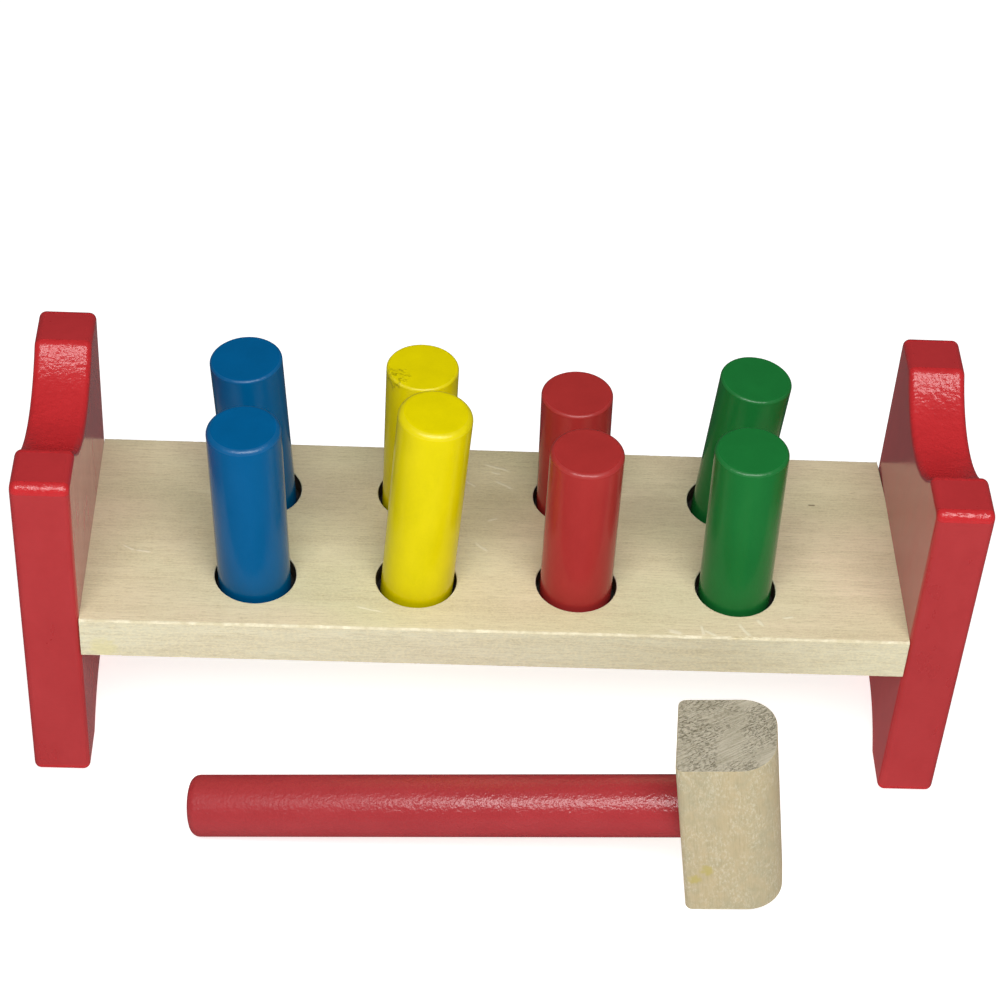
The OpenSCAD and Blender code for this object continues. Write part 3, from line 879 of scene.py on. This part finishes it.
class BENCH_OT_end_panels(Operator):
    """Adds the two painted end panels"""
    bl_idname = "bench.end_panels"
    bl_label = "End panels"

    def execute(self, context):
        s, colours = settings(context, "bench", "finishes")
        reds = [
            enamel("red_enamel_on_panel", colours.panel_red, gloss=0.4,
                   grain=(30.0, 12.0, 12.0), telegraph=0.008, dust=0.09),
            # The sawn outline keeps fine saw marks across its thickness under the paint
            enamel("red_enamel_on_sawn_edge", colours.panel_red, rough=0.3, gloss=0.45,
                   grain=(0.7, 0.7, 4.0), telegraph=0.012, peel=1.6, peel_depth=0.025),
            # The scoops and outer corners are glossier, and their deeper, brighter red is painted
            # light where they face the key light
            enamel("red_enamel_lit_and_glossy", colours.painted_light_red, rough=0.26, gloss=0.44,
                   grain=(0.7, 0.7, 4.0), telegraph=0.06, peel=1.8, peel_depth=0.34)]
        away = (s.board_length + s.panel_thickness) / 2
        for name, side in (("left", -1), ("right", 1)):
            make_piece(f"{name}_end_panel_dressed", panel_shape(s), "bench", reds,
                       [f"{name}_end_panel"], bench_place(side * away), offset=side * PANEL_GRAIN)
        return {"FINISHED"}


class BENCH_OT_pegs(Operator):
    """Adds the eight painted pegs, each at its own height and lean"""
    bl_idname = "bench.pegs"
    bl_label = "Pegs"

    def execute(self, context):
        s, colours = settings(context, "bench", "finishes")
        finishes = {}
        for name in ("blue", "yellow", "red", "green"):
            shade, scar = getattr(colours, name), SCARS.get(name)
            # The blows of the mallet burnish and dent the rims
            finishes[name] = (
                enamel(f"{name}_enamel_on_peg", shade, scar=scar),
                enamel(f"{name}_enamel_burnished", shade, rough=0.36, gloss=0.5, peel=1.5,
                       peel_depth=0.15, scar=scar))
        for seed, (hole, peg) in enumerate(zip(hole_centres(s), PEGS)):
            name, _, _, lean, top, edge = peg
            place = (bench_place() @ Matrix.Translation(hole)
                     @ Matrix.Rotation(radians(lean), 4, "Y")
                     @ Matrix.Translation((0, 0, top * MM - s.peg_length / 2)))
            colour = name.split("_")[0]
            make_piece(f"{name}_peg_dressed", peg_shape(s, edge, seed), f"{name}_peg",
                       finishes[colour], [f"{name}_peg"], place,
                       offset=seed * PEG_GRAIN)
        return {"FINISHED"}


class BENCH_OT_hidden_parts(Operator):
    """Finishes the rubber grip rings and the dowels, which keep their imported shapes"""
    bl_idname = "bench.hidden_parts"
    bl_label = "Grip rings and dowels"

    def execute(self, context):
        colours, = settings(context, "finishes")
        rubber, beech = moulded_rubber(colours), fluted_beech(colours)
        for name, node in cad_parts.items():
            for ending, material in (("_ring", rubber), ("_dowel", beech)):
                if name.endswith(ending):
                    for material_slot in node.material_slots:
                        material_slot.material = material
        return {"FINISHED"}


class BENCH_OT_mallet_head(Operator):
    """Adds the bare wooden head of the mallet"""
    bl_idname = "bench.mallet_head"
    bl_label = "Mallet head"

    def execute(self, context):
        m, colours = settings(context, "mallet", "finishes")
        woods = [head_side(colours), head_end(colours)]
        make_piece("mallet_head_dressed", head_shape(m), "mallet", woods,
                   ["mallet_head"], mallet_place(m), offset=HEAD_GRAIN)
        return {"FINISHED"}


class BENCH_OT_mallet_handle(Operator):
    """Adds the painted handle of the mallet"""
    bl_idname = "bench.mallet_handle"
    bl_label = "Mallet handle"

    def execute(self, context):
        m, colours = settings(context, "mallet", "finishes")
        red = enamel("red_enamel_on_handle", colours.handle_red, rough=0.25, gloss=0.5, peel=1.3,
                     peel_depth=0.3, held=GRIP)
        place = (mallet_place(m) @ Matrix.Translation((0, 0, m.head_height / 2))
                 @ Matrix.Rotation(radians(90), 4, "Y"))
        make_piece("mallet_handle_dressed", handle_shape(m), "mallet", [red],
                   ["mallet_handle"], place, offset=HANDLE_GRAIN)
        return {"FINISHED"}


class BENCH_OT_stage(Operator):
    """Adds the floor, the lights and the camera"""
    bl_idname = "bench.stage"
    bl_label = "Stage"

    def execute(self, context):
        scene = context.scene
        studio, colours = settings(context, "studio", "finishes")
        bm = bmesh.new()
        # Six metres square, past the edges of the picture
        bmesh.ops.create_grid(bm, x_segments=1, y_segments=1, size=3.0)
        mesh = bpy.data.meshes.new("floor")
        bm.to_mesh(mesh)
        bm.free()
        mesh.materials.append(light_table(colours, studio.floor_glow))
        floor = new_object("floor", mesh)
        # The enamel mirrors the dim room and not the bright floor
        floor.visible_glossy = False

        middle = Vector((0, (BOARD_LOW.y + BOARD_HIGH.y) / 2, PANEL_HIGH.z / 2))
        aim = Vector((sin(studio.key_side) * cos(studio.key_height),
                      -cos(studio.key_side) * cos(studio.key_height), sin(studio.key_height)))
        lamp = bpy.data.lights.new("key", "AREA")
        lamp.shape = "RECTANGLE"
        lamp.size, lamp.size_y = studio.key_size
        lamp.energy = studio.key_power
        key = new_object("key", lamp)
        key.location = middle + aim * studio.key_distance
        key.rotation_euler = aim.to_track_quat("Z", "Y").to_euler()
        lamp = bpy.data.lights.new("ceiling", "AREA")
        lamp.size = studio.ceiling_size
        lamp.energy = studio.ceiling_power
        ceiling = new_object("ceiling", lamp)
        ceiling.location = (0, middle.y, studio.ceiling_height)
        ceiling.visible_glossy = False

        world = bpy.data.worlds.new("room")
        world.use_nodes = True
        tree = world.node_tree
        fill(tree, tree.nodes["Background"], {
            "Color": (1.0, 1.0, 1.0), "Strength": studio.room_light})
        scene.world = world

        lens = bpy.data.cameras.new("camera")
        lens.lens = studio.focal_length
        lens.sensor_width = 36.0
        camera = new_object("camera", lens)
        camera.location = studio.camera_place
        camera.rotation_euler = studio.camera_turn
        scene.camera = camera
        scene.view_settings.view_transform = "Standard"
        return {"FINISHED"}


class BENCH_PT_pieces(Panel):
    """Lists the pieces of the bench and of its mallet"""
    bl_idname = "BENCH_PT_pieces"
    bl_label = "Peg pounding bench"
    bl_space_type = "VIEW_3D"
    bl_region_type = "UI"
    bl_category = "Bench"

    def draw(self, context):
        for step in STEPS:
            self.layout.operator(step.bl_idname)
        for group in settings(context, "bench", "mallet", "finishes", "studio"):
            box = self.layout.box()
            for name in group.bl_rna.properties.keys():
                if name not in ("rna_type", "name"):
                    box.prop(group, name)


STEPS = (BENCH_OT_board, BENCH_OT_end_panels, BENCH_OT_pegs, BENCH_OT_hidden_parts,
         BENCH_OT_mallet_head, BENCH_OT_mallet_handle, BENCH_OT_stage)
CLASSES = (BenchSizes, MalletSizes, Finishes, Studio, Settings, *STEPS, BENCH_PT_pieces)


def register():
    for cls in CLASSES:
        bpy.utils.register_class(cls)
    bpy.types.Scene.pounding_bench = PointerProperty(type=Settings)


def unregister():
    del bpy.types.Scene.pounding_bench
    for cls in reversed(CLASSES):
        bpy.utils.unregister_class(cls)


def main():
    register()
    bpy.ops.bench.board()
    bpy.ops.bench.end_panels()
    bpy.ops.bench.pegs()
    bpy.ops.bench.hidden_parts()
    bpy.ops.bench.mallet_head()
    bpy.ops.bench.mallet_handle()
    bpy.ops.bench.stage()


if __name__ == "__main__":
    main()
